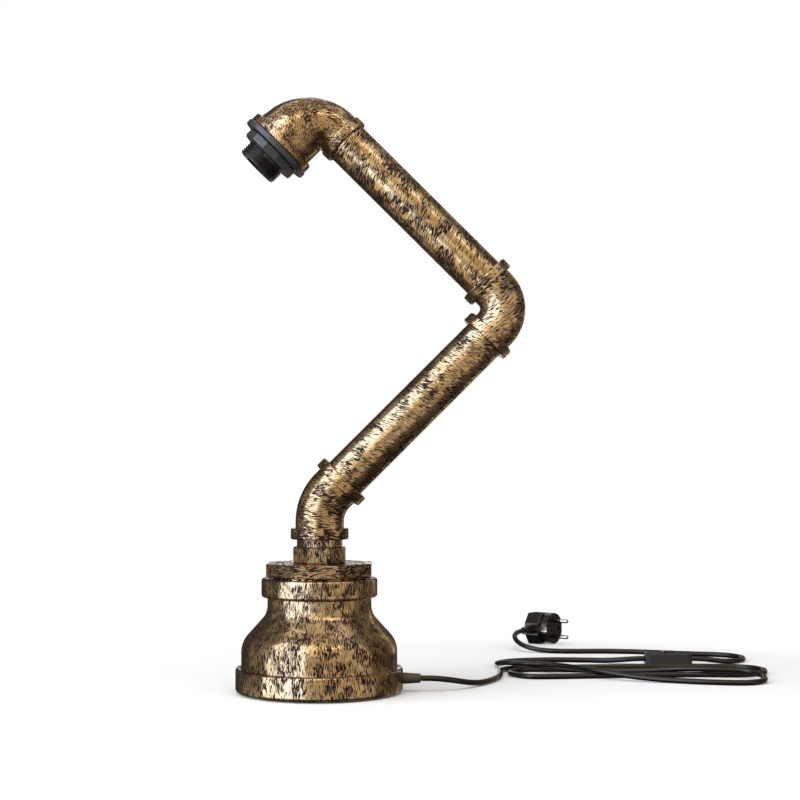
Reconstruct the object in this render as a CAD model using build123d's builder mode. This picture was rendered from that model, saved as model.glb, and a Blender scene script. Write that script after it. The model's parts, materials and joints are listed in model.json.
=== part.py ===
from build123d import *
import os
from math import atan2, cos, pi, radians, sin, sqrt, tan

# Industrial pipe table lamp, in millimetres. The floor is z = 0, +Z is up and the bell
# base stands centred on the Z axis. The arm zigzags in the XZ plane: up to the right,
# back up to the left, and down to the left at the head. The mains cord leaves at +X.

os.makedirs("parts", exist_ok=True)

# ---------------------------------------------------------------- fits
slip = 0.05             # radial clearance of parts that screw or turn in each other
seat = 0.3              # axial clearance behind an end that must not bottom
screw_fit = 0.05        # radial clearance round a screw
UP = Vector(0, 0, 1)
RIGHT = Vector(1, 0, 0)
FORTH = Vector(0, 1, 0)

# ---------------------------------------------------------------- bell base
body_radius = 74.4
rim_step = 5.4          # how far the rim stands out from the body
rim_height = 1.5        # underside of the cast rim above the floor
rim_top = 23.3
rim_foot_rounding = 3
rim_rounding = 2.5
rim_corner_rounding = 0.8
shoulder_height = 47.6  # corner between the body and the cone, before its rounding
shoulder_radius = 24.5
throat_height = 75.1    # corner between the cone and the neck, before its rounding
throat_radius = 18
neck_radius = 49.65
neck_height = 15.2      # from the throat's corner to the collar
collar_step = 5.75      # how far the collar stands out from the neck
collar_height = 18
collar_root_rounding = 1.2
collar_rounding = 2.4
bell_wall = 5.8

rim_radius = body_radius + rim_step
collar_radius = neck_radius + collar_step
collar_bottom = throat_height + neck_height
collar_top = collar_bottom + collar_height
bell_bore = neck_radius - bell_wall
inner_body = body_radius - bell_wall

# ---------------------------------------------------------------- base plate, pad and screws
pad_height = 2.5
plate_height = 3
plate_inset = 0.2       # base plate's edge inside the body's radius
plate_gap = 0.3         # gap round the base plate
pad_inset = 2.2         # pad's edge inside the plate's edge
boss_inset = 5.1        # middle of a screw boss inside the bell's inner wall
boss_count = 4
boss_radius = 6.5
boss_height = 18
boss_bore_spare = 1     # free depth under a plate screw
plate_screw_radius = 2
plate_screw_length = 13
plate_head_radius = 4
plate_socket_radius = 1.4
plate_socket_depth = 1.4
access_radius = 5

plate_radius = body_radius - plate_inset
rim_recess = plate_radius + plate_gap
pad_radius = plate_radius - pad_inset
plate_top = pad_height + plate_height
boss_circle_radius = inner_body - boss_inset

# ---------------------------------------------------------------- bushing and nipple
bushing_ledge = 5.75    # half the bushing's flats beyond the bell's bore
bushing_gap = 1.5       # thread that shows between the collar and the bushing
bushing_height = 12.7
spigot_length = 16
spigot_wall = 6
spigot_roof = 2.2       # how far the bushing's hollow reaches above the spigot
hub_wall = 7.1
octagon_chamfer = 0.9
nipple_flats = 49.4
nipple_hex_height = 15.6
nipple_neck_height = 6.9  # neck that shows between the octagon and the elbow
nipple_neck_step = 0.6  # how much the neck is thicker than the pipe
nipple_thread_radius = 20.9
nipple_thread_length = 18
nipple_bore_radius = 15

bushing_flats = 2 * (bell_bore + bushing_ledge)
bushing_bottom = collar_top + bushing_gap
bushing_top = bushing_bottom + bushing_height
hub_radius = nipple_thread_radius + hub_wall
nipple_hex_top = bushing_top + nipple_hex_height

# ---------------------------------------------------------------- pipes and elbows
pipe_radius = 21.2
pipe_wall = 2.6
lower_angle = 45        # rise of the lower pipe, in degrees
lower_span = 264.6      # corner to corner along the lower pipe
upper_span = 273.1      # corner to corner along the upper pipe
socket_depth = 12
band_rounding = 1.6

knee_reach = 34.3       # corner to mouth of the 45 degree elbow
knee_bend = 42
knee_cover = 1.95       # elbow's radius beyond the pipe's
knee_band_step = 6.5    # band's radius beyond the pipe's
knee_band_length = 10.6
knee_wall = 4.2

middle_reach = 42       # corner to mouth of the 90 degree elbow
middle_bend = 27
middle_cover = 0.7
middle_band_step = 5.6
middle_band_length = 10.4
middle_wall = 3.2

nipple_neck_radius = pipe_radius + nipple_neck_step
knee_height = nipple_hex_top + nipple_neck_height + knee_reach
pipe_socket = pipe_radius + slip

# ---------------------------------------------------------------- lamp holder on the head's axis
skirt_radius = 21.55    # shade thread, crest
skirt_neck_relief = 0.25  # how much the neck under the flange and the ring is thinner
skirt_wall = 1.85
ledge_sink = 2          # the ledge that carries the insert lies this far behind the flange's front
skirt_thread_length = 14.2
skirt_end_rounding = 0.9
skirt_mouth_rounding = 0.6
skirt_shoulder_height = 4
skirt_shoulder_step = 1.6
cup_step = 2.25         # cup's radius beyond the shade thread's
cup_depth = 9
cup_wall = 2.2
shell_radius = 13.4     # bore of the screw shell, for an E27 cap
shell_wall = 0.6
shell_length = 22
shell_lip = 7.4
shell_corner = 2.4      # inner rounding at the bottom of the screw shell
insert_height = 10
cap_depth = 10
cap_wall = 2
cap_rounding = 4
cap_inner_rounding = 2.5
cap_hub_radius = 7
cap_hub_height = 3.5
cap_hub_rounding = 0.8
cable_tail = 1          # cable's end inside the cap
rivet_radius = 1.2
rivet_head_radius = 1.6
rivet_head_height = 0.8
rivet_inset = 1         # rivet's tail inside its terminal
side_contact_radius = 9.4
centre_contact_radius = 3.5
centre_contact_height = 2
centre_contact_rounding = 1.2
centre_contact_crown = 0.6
holder_block_height = 5.6
holder_block_width = 7
holder_block_rim = 2.2  # terminal's metal beyond its rivet and its wire
holder_wire_offset = 3.6
holder_lead_straight = 1.5
flange_height = 5.8
flange_rounding = 1.2
flange_overhang = 1.25  # flange's radius beyond the elbow's mouth
flange_spigot_length = 9.9
flange_spigot_gap = 0.55
ring_corner_radius = 30
ring_height = 8.6
ring_gap = 0.2
ring_sides = 12
ring_turn = 6.4         # turn of the ring's first corner from the Y axis, in degrees
ring_chamfer = 0.8

skirt_neck_radius = skirt_radius - skirt_neck_relief
insert_radius = skirt_neck_radius - skirt_wall - slip
cup_radius = skirt_radius + cup_step
skirt_shoulder_radius = cup_radius + skirt_shoulder_step

# ---------------------------------------------------------------- reducing head elbow
head_cover = 1.1        # radius at the start of the bend beyond the pipe's
head_wall = 3.5
head_room = 2.95        # space round the holder's cup inside the elbow
head_growth = (0, 1.1, 2.75, 5.1, 7.95)  # how the bend's radius grows from its start to its end
head_inner_radius = 3   # radius of the tight inside of the bend
head_bend_offset = 1.25  # how far the bend ends short of the head's axis
head_band_length = 10.6
head_band_step = 3.35
head_skirt_length = 24.6  # end of the bend to the large mouth
head_skirt_step = 1.35
head_skirt_overlap = 1  # how far the skirt runs into the mouth's band
head_socket_wall = 1.6
head_mouth_step = 4.2
head_mouth_band = 8.5

head_start_radius = pipe_radius + head_cover
head_end_radius = cup_radius + head_room + head_wall
head_band_radius = pipe_radius + head_band_step
head_skirt_radius = head_end_radius + head_skirt_step
head_socket_radius = head_skirt_radius - head_socket_wall
head_mouth_radius = head_skirt_radius + head_mouth_step
head_bend_start = head_inner_radius + head_end_radius + head_bend_offset
head_reach = head_bend_start + head_band_length
head_pivot = head_inner_radius + head_start_radius
head_mouth = head_pivot + head_skirt_length
flange_radius = head_mouth_radius + flange_overhang
flange_spigot_bore = skirt_shoulder_radius + flange_spigot_gap

# ---------------------------------------------------------------- cord
cord_radius = 2.8
core_radius = 1.1
core_circle_radius = 1.4  # circle of cores inside the sheath
cord_height = 12.6      # height of the cord where it enters the base
cable_radius = 2.6      # the cable inside the arm
bush_length = 17
bush_root_radius = 5.5
bush_tip_radius = 4.3
bush_root_rounding = 0.5
bush_tip_rounding = 0.6
bush_neck_radius = 4.5
bush_lip_radius = 5.6
bush_lip_length = 4
bush_lip_rounding = 1.2
bush_tip = rim_radius + bush_length

# ---------------------------------------------------------------- wiring inside the base and the arm
clamp_x = 50            # middle of the cord clamp inside the base
clamp_width = 28
clamp_length = 10
clamp_gap = 0.3
clamp_bar_top = 18
clamp_screw_radius = 1.5
clamp_screw_spacing = 18
plate_thread_depth = 2  # bite of small screws in the base plate
block_x = 6             # middle of the terminal block
block_length = 18
block_width = 23
block_rounding = 1.5
block_pitch = 11
block_fixing_radius = 1.5
block_fixing_sink = 4
earth_x = 4
earth_y = 27
earth_screw_radius = 2
sleeve_inset = 1        # sleeve's end inside the block's end
sleeve_radius = 3.2
sleeve_bore_radius = 1.5
grub_radius = 1.2
grub_length = 4.2
grub_spacing = 9
grub_slot_width = 0.6
grub_slot_depth = 0.7
lead_straight = 6
tag_radius = 4.2
tag_thickness = 0.8
tag_overlap = 3         # how far the tag's tongue runs under the barrel
barrel_radius = 1.7
barrel_start = 5.5
barrel_length = 6
earth_lead_side = 3
earth_lead_rise = 1.5
cable_end_x = -26
cable_split_drop = 29.3  # the inner cable is parted this far below the knee's corner
knee_cut = 12           # how far from an elbow's corner the inner cable starts to bend
middle_cut = 17
head_cut = 13

# ---------------------------------------------------------------- screws with a slotted pan head
pan_head_ratio = 1.9    # head's radius to the shank's radius
pan_height_ratio = 1.2
pan_rounding_ratio = 0.4
pan_slot_ratio = 0.45

# ---------------------------------------------------------------- coil of cord
coil_left = (221, 124)
coil_left_radius = 46
coil_right = (397, 101)
coil_right_radius = 62
coil_band = 26
coil_layers = 2
coil_height = coil_layers * 2 * cord_radius

# ---------------------------------------------------------------- inline switch
switch_x = 368
switch_y = 204
switch_length = 50
switch_width = 22
switch_height = 12.5
switch_split = 6.2      # height of the joint between the case's halves
switch_wall = 1.8
switch_end_wall = 6
switch_nose = 4.5
switch_chamfer = 0.8
switch_run = 13         # straight cord at each end of the switch
cord_grip = 4           # how far the cord reaches into the switch
post_radius = 2.4
post_root = 0.6         # how far a screw post is sunk in the walls beside it
switch_screw_radius = 1.1
switch_screw_sink = 1.6
switch_screw_bite = 3
rocker_length = 12.4
rocker_width = 6.4
rocker_gap = 0.3
rocker_swing = 1.2      # extra length of the opening for the tilting rocker
rocker_rise = 3.4       # top of the rocker's middle above its pivot
rocker_ear = 1.2        # how much the rocker's ends rise above its middle
rocker_ear_rounding = 0.5
rocker_skirt = 1        # underside of the rocker below its pivot
rocker_tilt = 8         # rest tilt of the rocker, raised at its left end
rocker_hub_radius = 2
pivot_height = 9.4
pin_radius = 0.8
lug_length = 3.4
lug_width = 1.6
lug_drop = 1.5
switch_terminal_length = 5
switch_terminal_width = 4
switch_terminal_height = 3
terminal_place = 9
terminal_shift = 4.5
switch_grub_radius = 1
switch_grub_height = 1.2
switch_core_side = 6.6  # the cores that pass by run beside the rocker
switch_core_drop = 2.6  # one of them runs lower
core_lane = 9.5         # half length of the straight part of the cores beside the rocker
core_straight = 2.5
switched_core_radius = 0.9

# ---------------------------------------------------------------- plug
plug_radius = 18.5
plug_back = 13
plug_front = 7
plug_face = 16
plug_flank = 14
plug_shoulder = 22
plug_neck = 7
plug_chamfer = 1.5
pin_spacing = 19
pin_outer_radius = 2.4
pin_shank_radius = 2
pin_root = 8
pin_reach = 19
pin_tip_rounding = 1.1
sleeve_reach = 10
earth_width = 6
earth_notch = 2
clip_thickness = 1.4
earth_hole_offset = 10
earth_hole_radius = 2.5
earth_hole_depth = 14
relief_length = 22
relief_ribs = 6
relief_root = 5.8
relief_tip = 4.4
relief_groove = 1
relief_rib_share = 0.6  # width of a rib to the ribs' pitch
cord_rise = plug_radius  # the plug lies on its edge, so its cord enters at this height


# ================================================================ shared shapes
def ray(angle):
    """Unit vector in the XZ plane, its angle measured from +X up towards +Z."""
    return Vector(cos(radians(angle)), 0, sin(radians(angle)))


def outline(*corners):
    """Closed flat outline; each corner is (x, y) or (x, y, rounding)."""
    with BuildSketch() as sketch:
        Polygon(*[corner[:2] for corner in corners], align=None)
        for corner in corners:
            if len(corner) == 3:
                fillet(sketch.vertices().sort_by_distance(corner[:2])[0], corner[2])
    return sketch.sketch


def bar(start, direction, length, radius, rounding=0):
    """Round bar from a start point along a direction."""
    with BuildPart() as piece:
        with BuildSketch(Plane(origin=start, z_dir=direction)):
            Circle(radius)
        extrude(amount=length)
        if rounding:
            fillet(piece.edges().filter_by(GeomType.CIRCLE), rounding)
    return piece.part


def bent_bar(corner, inward, outward, reach, bend, radius):
    """Round bar that runs inward to a corner and outward from it, with a round bend."""
    with BuildPart() as piece:
        with BuildLine() as path:
            FilletPolyline(corner - inward * reach, corner, corner + outward * reach, radius=bend)
        with BuildSketch(Plane(origin=path.line @ 0, z_dir=path.line % 0)):
            Circle(radius)
        sweep(path=path.line)
    return piece.part


def tube_path(points, share=0.45):
    """Straight runs joined by arcs as large as the runs allow; returns the line and the radii."""
    corners = [Vector(*point) for point in points]
    runs = [after - before for before, after in zip(corners, corners[1:])]
    radii = []
    for run, following in zip(runs, runs[1:]):
        half_turn = radians(run.get_angle(following) / 2)
        radii.append(share * min(run.length, following.length) / tan(half_turn))
    with BuildLine() as path:
        FilletPolyline(*corners, radius=radii)
    return path.line, radii


def swept(points, radius):
    """Round tube that follows a route of points."""
    line, _ = tube_path(points)
    with BuildPart() as piece:
        with BuildSketch(Plane(origin=line @ 0, z_dir=line % 0)):
            Circle(radius)
        sweep(path=line)
    return piece.part


def free_cord(label, points):
    """Length of loose cord; prints its tightest bend and checks its volume."""
    line, radii = tube_path(points)
    length = sum(edge.length for edge in line.edges())
    piece = swept(points, cord_radius)
    expected = pi * cord_radius ** 2 * length
    print(f"{label}: length {length:.1f}, radii {min(radii):.1f} to {max(radii):.1f}, "
          f"volume ratio {piece.volume / expected:.4f}")
    return piece


def save(builder, node):
    """Label a finished piece and write its STEP file."""
    builder.part.label = node
    export_step(builder.part, f"parts/{node}.step")


# ================================================================ places worked out from the sizes
lower_dir = ray(lower_angle)
upper_dir = ray(lower_angle + 90)
head_dir = ray(lower_angle + 180)
knee_corner = UP * knee_height
middle_corner = knee_corner + lower_dir * lower_span
head_corner = middle_corner + upper_dir * upper_span

knee_seat = knee_reach - socket_depth
middle_seat = middle_reach - socket_depth
head_seat = head_reach - socket_depth
spigot_radius = bell_bore - slip
hub_bottom = bushing_top - nipple_thread_length
nipple_top = knee_height - knee_seat - seat
cable_split = knee_height - cable_split_drop


def head_plane(station):
    """Plane square to the head's axis; its x axis is the lamp's Y axis."""
    return Plane(origin=head_corner + head_dir * station, x_dir=FORTH, z_dir=head_dir)


head_axis = Axis(head_corner, head_dir)
head_section = Plane(origin=head_corner, x_dir=FORTH, z_dir=FORTH.cross(head_dir))

# ================================================================ base
cone_angle = atan2(body_radius - neck_radius, throat_height - shoulder_height)
inner_drop = bell_wall * tan(cone_angle / 2)    # inner corners lie this far below the outer ones

with BuildPart() as base_bell:
    with BuildSketch(Plane.XZ):
        add(outline(
            (rim_recess, rim_height),
            (rim_radius, rim_height, rim_foot_rounding),
            (rim_radius, rim_top, rim_rounding),
            (body_radius, rim_top, rim_corner_rounding),
            (body_radius, shoulder_height, shoulder_radius),
            (neck_radius, throat_height, throat_radius),
            (neck_radius, collar_bottom, collar_root_rounding),
            (collar_radius, collar_bottom, collar_rounding),
            (collar_radius, collar_top, collar_rounding),
            (bell_bore, collar_top),
            (bell_bore, throat_height - inner_drop, throat_radius + bell_wall),
            (inner_body, shoulder_height - inner_drop, shoulder_radius - bell_wall),
            (inner_body, plate_top),
            (rim_recess, plate_top),
        ))
    revolve(axis=Axis.Z)
    with BuildSketch(Plane.XY.offset(plate_top)):
        with PolarLocations(boss_circle_radius, boss_count, 45):
            Circle(boss_radius)
    extrude(amount=boss_height)
    with BuildSketch(Plane.XY.offset(plate_top)):
        with PolarLocations(boss_circle_radius, boss_count, 45):
            Circle(plate_screw_radius + screw_fit)
    extrude(amount=plate_screw_length - plate_height + boss_bore_spare, mode=Mode.SUBTRACT)
    add(bar(Vector(clamp_x, 0, cord_height), RIGHT, bush_tip - clamp_x, bush_neck_radius + slip),
        mode=Mode.SUBTRACT)
save(base_bell, "base_bell")

with BuildPart() as base_plate:
    with BuildSketch(Plane.XY.offset(pad_height)):
        Circle(plate_radius)
    extrude(amount=plate_height)
    with Locations(Plane(origin=(0, 0, pad_height), x_dir=(1, 0, 0), z_dir=(0, 0, -1))):
        with PolarLocations(boss_circle_radius, boss_count, 45):
            CounterSinkHole(plate_screw_radius + screw_fit, plate_head_radius + screw_fit,
                            depth=plate_height, counter_sink_angle=90)
    with BuildSketch(Plane.XY.offset(plate_top)):
        with Locations((clamp_x, 0)):
            with GridLocations(0, clamp_screw_spacing, 1, 2):
                Circle(clamp_screw_radius + screw_fit)
        with Locations((earth_x, earth_y)):
            Circle(earth_screw_radius + screw_fit)
        with Locations((block_x, 0)):
            Circle(block_fixing_radius + screw_fit)
    extrude(amount=-plate_thread_depth - seat, mode=Mode.SUBTRACT)
save(base_plate, "base_plate")

with BuildPart() as countersunk_screw:
    with BuildSketch(Plane.XZ):
        add(outline(
            (0, 0), (plate_head_radius, 0), (plate_screw_radius, plate_head_radius - plate_screw_radius),
            (plate_screw_radius, plate_screw_length), (0, plate_screw_length),
        ))
    revolve(axis=Axis.Z)
    with BuildSketch():
        RegularPolygon(plate_socket_radius, 6)
    extrude(amount=plate_socket_depth, mode=Mode.SUBTRACT)

with BuildPart() as plate_screws:
    with Locations(Plane.XY.offset(pad_height)):
        with PolarLocations(boss_circle_radius, boss_count, 45):
            add(countersunk_screw.part)
save(plate_screws, "plate_screws")

with BuildPart() as base_pad:
    with BuildSketch():
        Circle(pad_radius)
        with PolarLocations(boss_circle_radius, boss_count, 45):
            Circle(access_radius, mode=Mode.SUBTRACT)
    extrude(amount=pad_height)
save(base_pad, "base_pad")

with BuildPart() as bushing:
    with BuildSketch(Plane.XY.offset(bushing_bottom)):
        RegularPolygon(bushing_flats / 2, 8, major_radius=False, rotation=22.5)
    extrude(amount=bushing_top - bushing_bottom)
    chamfer(bushing.faces().filter_by(Axis.Z).edges(), octagon_chamfer)
    with BuildSketch(Plane.XY.offset(bushing_bottom)):
        Circle(spigot_radius)
    extrude(amount=-spigot_length)
    with BuildSketch(Plane.XY.offset(bushing_bottom - spigot_length)):
        Circle(spigot_radius - spigot_wall)
    extrude(amount=spigot_length + spigot_roof, mode=Mode.SUBTRACT)
    with BuildSketch(Plane.XY.offset(hub_bottom)):
        Circle(hub_radius)
    extrude(amount=bushing_bottom + spigot_roof - hub_bottom)
    with BuildSketch(Plane.XY.offset(hub_bottom)):
        Circle(nipple_thread_radius + slip)
    extrude(amount=bushing_top - hub_bottom, mode=Mode.SUBTRACT)
save(bushing, "bushing")

with BuildPart() as nipple:
    with BuildSketch(Plane.XY.offset(bushing_top)):
        RegularPolygon(nipple_flats / 2, 8, major_radius=False, rotation=22.5)
    extrude(amount=nipple_hex_height)
    chamfer(nipple.faces().filter_by(Axis.Z).edges(), octagon_chamfer)
    with BuildSketch(Plane.XY.offset(nipple_hex_top)):
        Circle(nipple_neck_radius)
    extrude(amount=nipple_top - nipple_hex_top)
    with BuildSketch(Plane.XY.offset(bushing_top)):
        Circle(nipple_thread_radius)
    extrude(amount=-nipple_thread_length)
    with BuildSketch(Plane.XY.offset(hub_bottom)):
        Circle(nipple_bore_radius)
    extrude(amount=nipple_top - hub_bottom, mode=Mode.SUBTRACT)
save(nipple, "nipple")

# ---------------------------------------------------------------- cord entry
bush_lip_end = sqrt(inner_body ** 2 - bush_lip_radius ** 2) - slip
bush_root = rim_radius + slip
cord_axis = Axis((0, 0, cord_height), (1, 0, 0))

with BuildPart() as cord_bush:
    with BuildSketch(Plane.XZ):
        add(outline(
            (bush_lip_end - bush_lip_length, cord_height + cord_radius + slip),
            (bush_lip_end - bush_lip_length, cord_height + bush_lip_radius, bush_lip_rounding),
            (bush_lip_end, cord_height + bush_lip_radius),
            (bush_lip_end, cord_height + bush_neck_radius),
            (bush_root, cord_height + bush_neck_radius),
            (bush_root, cord_height + bush_root_radius, bush_root_rounding),
            (bush_tip, cord_height + bush_tip_radius, bush_tip_rounding),
            (bush_tip, cord_height + cord_radius + slip),
        ))
    revolve(axis=cord_axis)
save(cord_bush, "cord_bush")

with BuildPart() as clamp_base:
    with BuildSketch(Plane((clamp_x, 0, plate_top))):
        Rectangle(clamp_length, clamp_width)
        with GridLocations(0, clamp_screw_spacing, 1, 2):
            Circle(clamp_screw_radius + screw_fit, mode=Mode.SUBTRACT)
    extrude(amount=cord_height - clamp_gap / 2 - plate_top)
    add(bar(Vector(clamp_x - clamp_length, 0, cord_height), RIGHT, 2 * clamp_length, cord_radius + slip),
        mode=Mode.SUBTRACT)
save(clamp_base, "clamp_base")

with BuildPart() as clamp_bar:
    with BuildSketch(Plane((clamp_x, 0, cord_height + clamp_gap / 2))):
        Rectangle(clamp_length, clamp_width)
        with GridLocations(0, clamp_screw_spacing, 1, 2):
            Circle(clamp_screw_radius + screw_fit, mode=Mode.SUBTRACT)
    extrude(amount=clamp_bar_top - cord_height - clamp_gap / 2)
    add(bar(Vector(clamp_x - clamp_length, 0, cord_height), RIGHT, 2 * clamp_length, cord_radius + slip),
        mode=Mode.SUBTRACT)
save(clamp_bar, "clamp_bar")


def pan_screw(radius, length):
    """Slotted pan-head screw: the head stands on z = 0 and the shank points down."""
    with BuildPart() as screw:
        with BuildSketch():
            Circle(radius)
        extrude(amount=-length)
        with BuildSketch():
            Circle(radius * pan_head_ratio)
        extrude(amount=radius * pan_height_ratio)
        fillet(screw.edges().sort_by(Axis.Z)[-1], radius * pan_rounding_ratio)
        with BuildSketch(Plane.XY.offset(radius * pan_height_ratio)):
            Rectangle(2 * radius * pan_head_ratio, radius * pan_slot_ratio)
        extrude(amount=-radius * pan_height_ratio / 2, mode=Mode.SUBTRACT)
    return screw.part


with BuildPart() as clamp_screws:
    with Locations(Plane((clamp_x, 0, clamp_bar_top))):
        with GridLocations(0, clamp_screw_spacing, 1, 2):
            add(pan_screw(clamp_screw_radius, clamp_bar_top - plate_top + plate_thread_depth))
save(clamp_screws, "clamp_screws")

cord_end_x = clamp_x - clamp_length
with BuildPart() as mains_cord:
    add(bar(Vector(cord_end_x, 0, cord_height), RIGHT, bush_tip - cord_end_x, cord_radius))
save(mains_cord, "mains_cord")

# ---------------------------------------------------------------- terminal block and leads in the base
block_height = 2 * (cord_height - plate_top)
sleeve_length = block_length - 2 * sleeve_inset

with BuildPart() as terminal_block:
    with BuildSketch(Plane((block_x, 0, plate_top))):
        RectangleRounded(block_length, block_width, block_rounding)
    extrude(amount=block_height)
    with BuildSketch(Plane((block_x - block_length, 0, cord_height), x_dir=(0, 1, 0), z_dir=(1, 0, 0))):
        with GridLocations(block_pitch, 0, 2, 1):
            Circle(sleeve_radius + slip)
    extrude(amount=2 * block_length, mode=Mode.SUBTRACT)
    with BuildSketch(Plane((block_x, 0, plate_top + block_height))):
        with GridLocations(grub_spacing, block_pitch, 2, 2):
            Circle(grub_radius + screw_fit)
    extrude(amount=cord_height - plate_top - block_height, mode=Mode.SUBTRACT)
    with Locations((block_x, 0, plate_top + block_height)):
        CounterBoreHole(block_fixing_radius + screw_fit, block_fixing_radius * pan_head_ratio + screw_fit,
                        block_fixing_sink, depth=block_height)
save(terminal_block, "terminal_block")

with BuildPart() as terminal_sleeves:
    with BuildSketch(Plane((block_x - sleeve_length / 2, 0, cord_height), x_dir=(0, 1, 0), z_dir=(1, 0, 0))):
        with GridLocations(block_pitch, 0, 2, 1):
            Circle(sleeve_radius)
            Circle(sleeve_bore_radius, mode=Mode.SUBTRACT)
    extrude(amount=sleeve_length)
    with BuildSketch(Plane((block_x, 0, cord_height))):
        with GridLocations(grub_spacing, block_pitch, 2, 2):
            Circle(grub_radius + screw_fit)
    extrude(amount=2 * sleeve_radius, mode=Mode.SUBTRACT)
save(terminal_sleeves, "terminal_sleeves")

with BuildPart() as terminal_screws:
    with BuildSketch(Plane((block_x, 0, cord_height + core_radius + slip))):
        with GridLocations(grub_spacing, block_pitch, 2, 2):
            Circle(grub_radius)
    extrude(amount=grub_length)
    with BuildSketch(Plane((block_x, 0, cord_height + core_radius + slip + grub_length))):
        with GridLocations(grub_spacing, block_pitch, 2, 2):
            Rectangle(3 * grub_radius, grub_slot_width)
    extrude(amount=-grub_slot_depth, mode=Mode.SUBTRACT)
    with Locations((block_x, 0, plate_top + block_height - block_fixing_sink)):
        add(pan_screw(block_fixing_radius, block_height - block_fixing_sink + plate_thread_depth))
save(terminal_screws, "terminal_screws")


def core_place(angle):
    """Offset of a core from the middle of its sheath, in the plane square to X."""
    return (FORTH * cos(radians(angle)) + UP * sin(radians(angle))) * core_circle_radius


def lead(node, points):
    """Insulated core between two terminals."""
    with BuildPart() as wire:
        add(swept(points, core_radius))
    save(wire, node)


cord_end = Vector(cord_end_x, 0, cord_height)
cable_end = Vector(cable_end_x, 0, cord_height)
for pole, angle, side in (("live", 210, -1), ("neutral", 90, 1)):
    core = core_place(angle)
    way = Vector(block_x, side * block_pitch / 2, cord_height)
    lead("mains_lead_" + pole, (
        cord_end + core,
        cord_end + core - RIGHT * lead_straight,
        way + RIGHT * (block_length / 2 + lead_straight),
        way + RIGHT * sleeve_length / 4,
    ))
    lead("lamp_lead_" + pole, (
        cable_end + core,
        cable_end + core + RIGHT * lead_straight,
        way - RIGHT * (block_length / 2 + lead_straight),
        way - RIGHT * sleeve_length / 4,
    ))

earth_spot = Vector(earth_x, earth_y, plate_top)
barrel_axis = earth_spot + UP * barrel_radius
with BuildPart() as earth_tag:
    with BuildSketch(Plane(earth_spot)):
        Circle(tag_radius)
        with Locations((tag_radius / 2 + barrel_start / 2, 0)):
            Rectangle(barrel_start - tag_radius + tag_overlap, barrel_radius * 2)
        Circle(earth_screw_radius + screw_fit, mode=Mode.SUBTRACT)
    extrude(amount=tag_thickness)
    with BuildSketch(Plane(barrel_axis + RIGHT * barrel_start, x_dir=(0, 1, 0), z_dir=(1, 0, 0))):
        Circle(barrel_radius)
    extrude(amount=barrel_length)
    with BuildSketch(Plane(barrel_axis + RIGHT * barrel_start, x_dir=(0, 1, 0), z_dir=(1, 0, 0))):
        Circle(core_radius + slip)
    extrude(amount=barrel_length, mode=Mode.SUBTRACT)
save(earth_tag, "earth_tag")

with BuildPart() as earth_screw:
    with Locations(earth_spot + UP * tag_thickness):
        add(pan_screw(earth_screw_radius, tag_thickness + plate_thread_depth))
save(earth_screw, "earth_screw")

earth_core = core_place(330)
barrel_mouth = barrel_axis + RIGHT * (barrel_start + barrel_length)
lead("mains_lead_earth", (
    cord_end + earth_core,
    cord_end + earth_core - RIGHT * lead_straight,
    barrel_mouth + RIGHT * (2 * lead_straight) - FORTH * earth_lead_side + UP * earth_lead_rise,
    barrel_mouth + RIGHT * lead_straight,
    barrel_mouth - RIGHT * barrel_length / 2,
))

cable_route = (
    (cable_end_x, 0, cord_height), (-38.5, 0, cord_height), (-50.5, 0, 21), (-55, 0, 34), (-51, 0, 49),
    (-42, 0, 62), (-31, 0, 75), (-18.5, 0, 88), (-8, 0, 102.5), (-1.8, 0, 118.5), (0, 0, 135),
    (0, 0, cable_split),
)
with BuildPart() as lamp_cable_base:
    add(swept(cable_route, cable_radius))
save(lamp_cable_base, "lamp_cable_base")


# ================================================================ arm
def elbow(inward, outward, reach, bend, radius, wall, band_radius, band_length, sockets):
    """Equal elbow round its corner: a bent body with a rounded band and a socket at each mouth."""
    corner = Vector(0, 0, 0)
    with BuildPart() as fitting:
        add(bent_bar(corner, inward, outward, reach - band_rounding, bend, radius))
        add(bar(corner - inward * reach, inward, band_length, band_radius, band_rounding))
        add(bar(corner + outward * reach, outward * -1, band_length, band_radius, band_rounding))
        add(bent_bar(corner, inward, outward, reach + seat, bend, radius - wall), mode=Mode.SUBTRACT)
        add(bar(corner - inward * (reach + seat), inward, socket_depth + seat, sockets[0]),
            mode=Mode.SUBTRACT)
        add(bar(corner + outward * (reach + seat), outward * -1, socket_depth + seat, sockets[1]),
            mode=Mode.SUBTRACT)
    return fitting.part


with BuildPart() as elbow_45:
    with Locations(knee_corner):
        add(elbow(UP, lower_dir, knee_reach, knee_bend, pipe_radius + knee_cover, knee_wall,
                  pipe_radius + knee_band_step, knee_band_length, (nipple_neck_radius + slip, pipe_socket)))
save(elbow_45, "elbow_45")

with BuildPart() as elbow_90:
    with Locations(middle_corner):
        add(elbow(lower_dir, upper_dir, middle_reach, middle_bend, pipe_radius + middle_cover, middle_wall,
                  pipe_radius + middle_band_step, middle_band_length, (pipe_socket, pipe_socket)))
save(elbow_90, "elbow_90")


def pipe(start, direction, length):
    """Plain pipe with lightly broken outer edges."""
    with BuildPart() as tube:
        add(bar(start, direction, length, pipe_radius))
        chamfer(tube.edges().filter_by(GeomType.CIRCLE), pipe_wall / 4)
        add(bar(start, direction, length, pipe_radius - pipe_wall), mode=Mode.SUBTRACT)
    return tube.part


with BuildPart() as lower_pipe:
    add(pipe(knee_corner + lower_dir * knee_seat, lower_dir, lower_span - knee_seat - middle_seat - seat))
save(lower_pipe, "lower_pipe")

with BuildPart() as upper_pipe:
    add(pipe(middle_corner + upper_dir * middle_seat, upper_dir,
             upper_span - middle_seat - head_seat - seat))
save(upper_pipe, "upper_pipe")

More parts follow.
